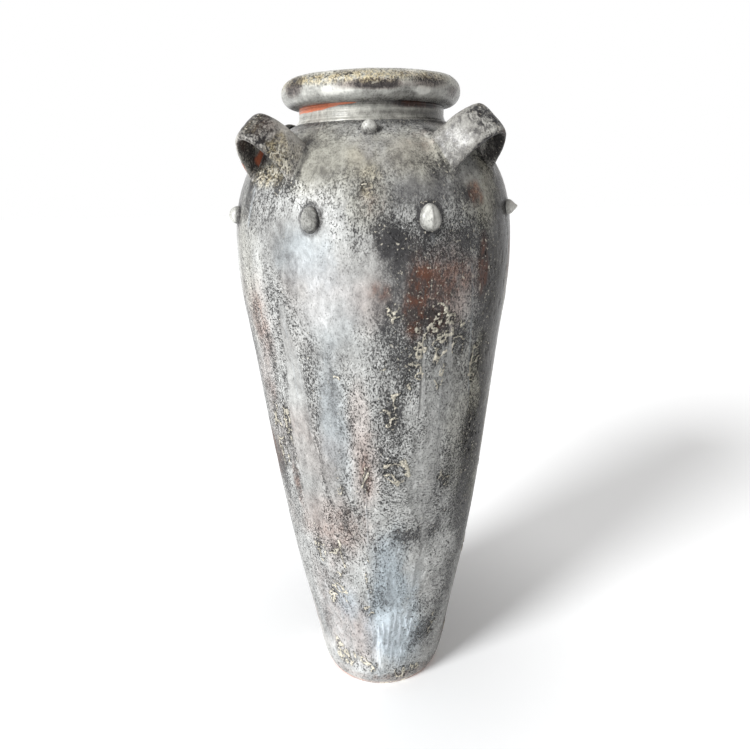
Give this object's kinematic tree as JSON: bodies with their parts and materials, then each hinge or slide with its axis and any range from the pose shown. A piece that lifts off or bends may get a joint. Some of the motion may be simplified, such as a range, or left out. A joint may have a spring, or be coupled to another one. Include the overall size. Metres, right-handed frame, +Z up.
{
  "type": "tall ceramic vase",
  "caption": "Tall tapering ceramic floor vase with a narrow foot, full shoulder, short neck, rolled rim, strap handles and round studs.",
  "frame": {"origin": "middle of the vase's flat underside, on the axis it was thrown about", "axes": "+Z up along the vase's axis; the front, between two handles and under one upper stud, faces -Y"},
  "size_m": [0.425, 0.425, 1],
  "materials": {
    "body": "mottled grey paint rubbed over dark waxed clay, semi-gloss",
    "foot": "dark grey wash with bare orange clay at the edge, matt",
    "neck": "grey wash, satin",
    "rim": "grey and straw paint rubbed over dark waxed clay, semi-gloss",
    "handle": "mottled grey paint over dark clay, semi-gloss",
    "stud": "pale grey paint rubbed over dark clay, semi-gloss"
  },
  "bodies": {
    "root": {"base_slab": "foot", "lower_body": "body", "middle_body": "body", "belly": "body", "shoulder": "body", "neck_collar": "neck", "rim_roll": "rim", "handle_front_left": "handle", "handle_front_right": "handle", "handle_back_right": "handle", "handle_back_left": "handle", "upper_stud_front": "stud", "upper_stud_right": "stud", "upper_stud_back": "stud", "upper_stud_left": "stud", "lower_stud_front_left": "stud", "lower_stud_front_right": "stud", "lower_stud_right_front": "stud", "lower_stud_right_back": "stud", "lower_stud_back_right": "stud", "lower_stud_back_left": "stud", "lower_stud_left_back": "stud", "lower_stud_left_front": "stud"}
  },
  "joints": []
}
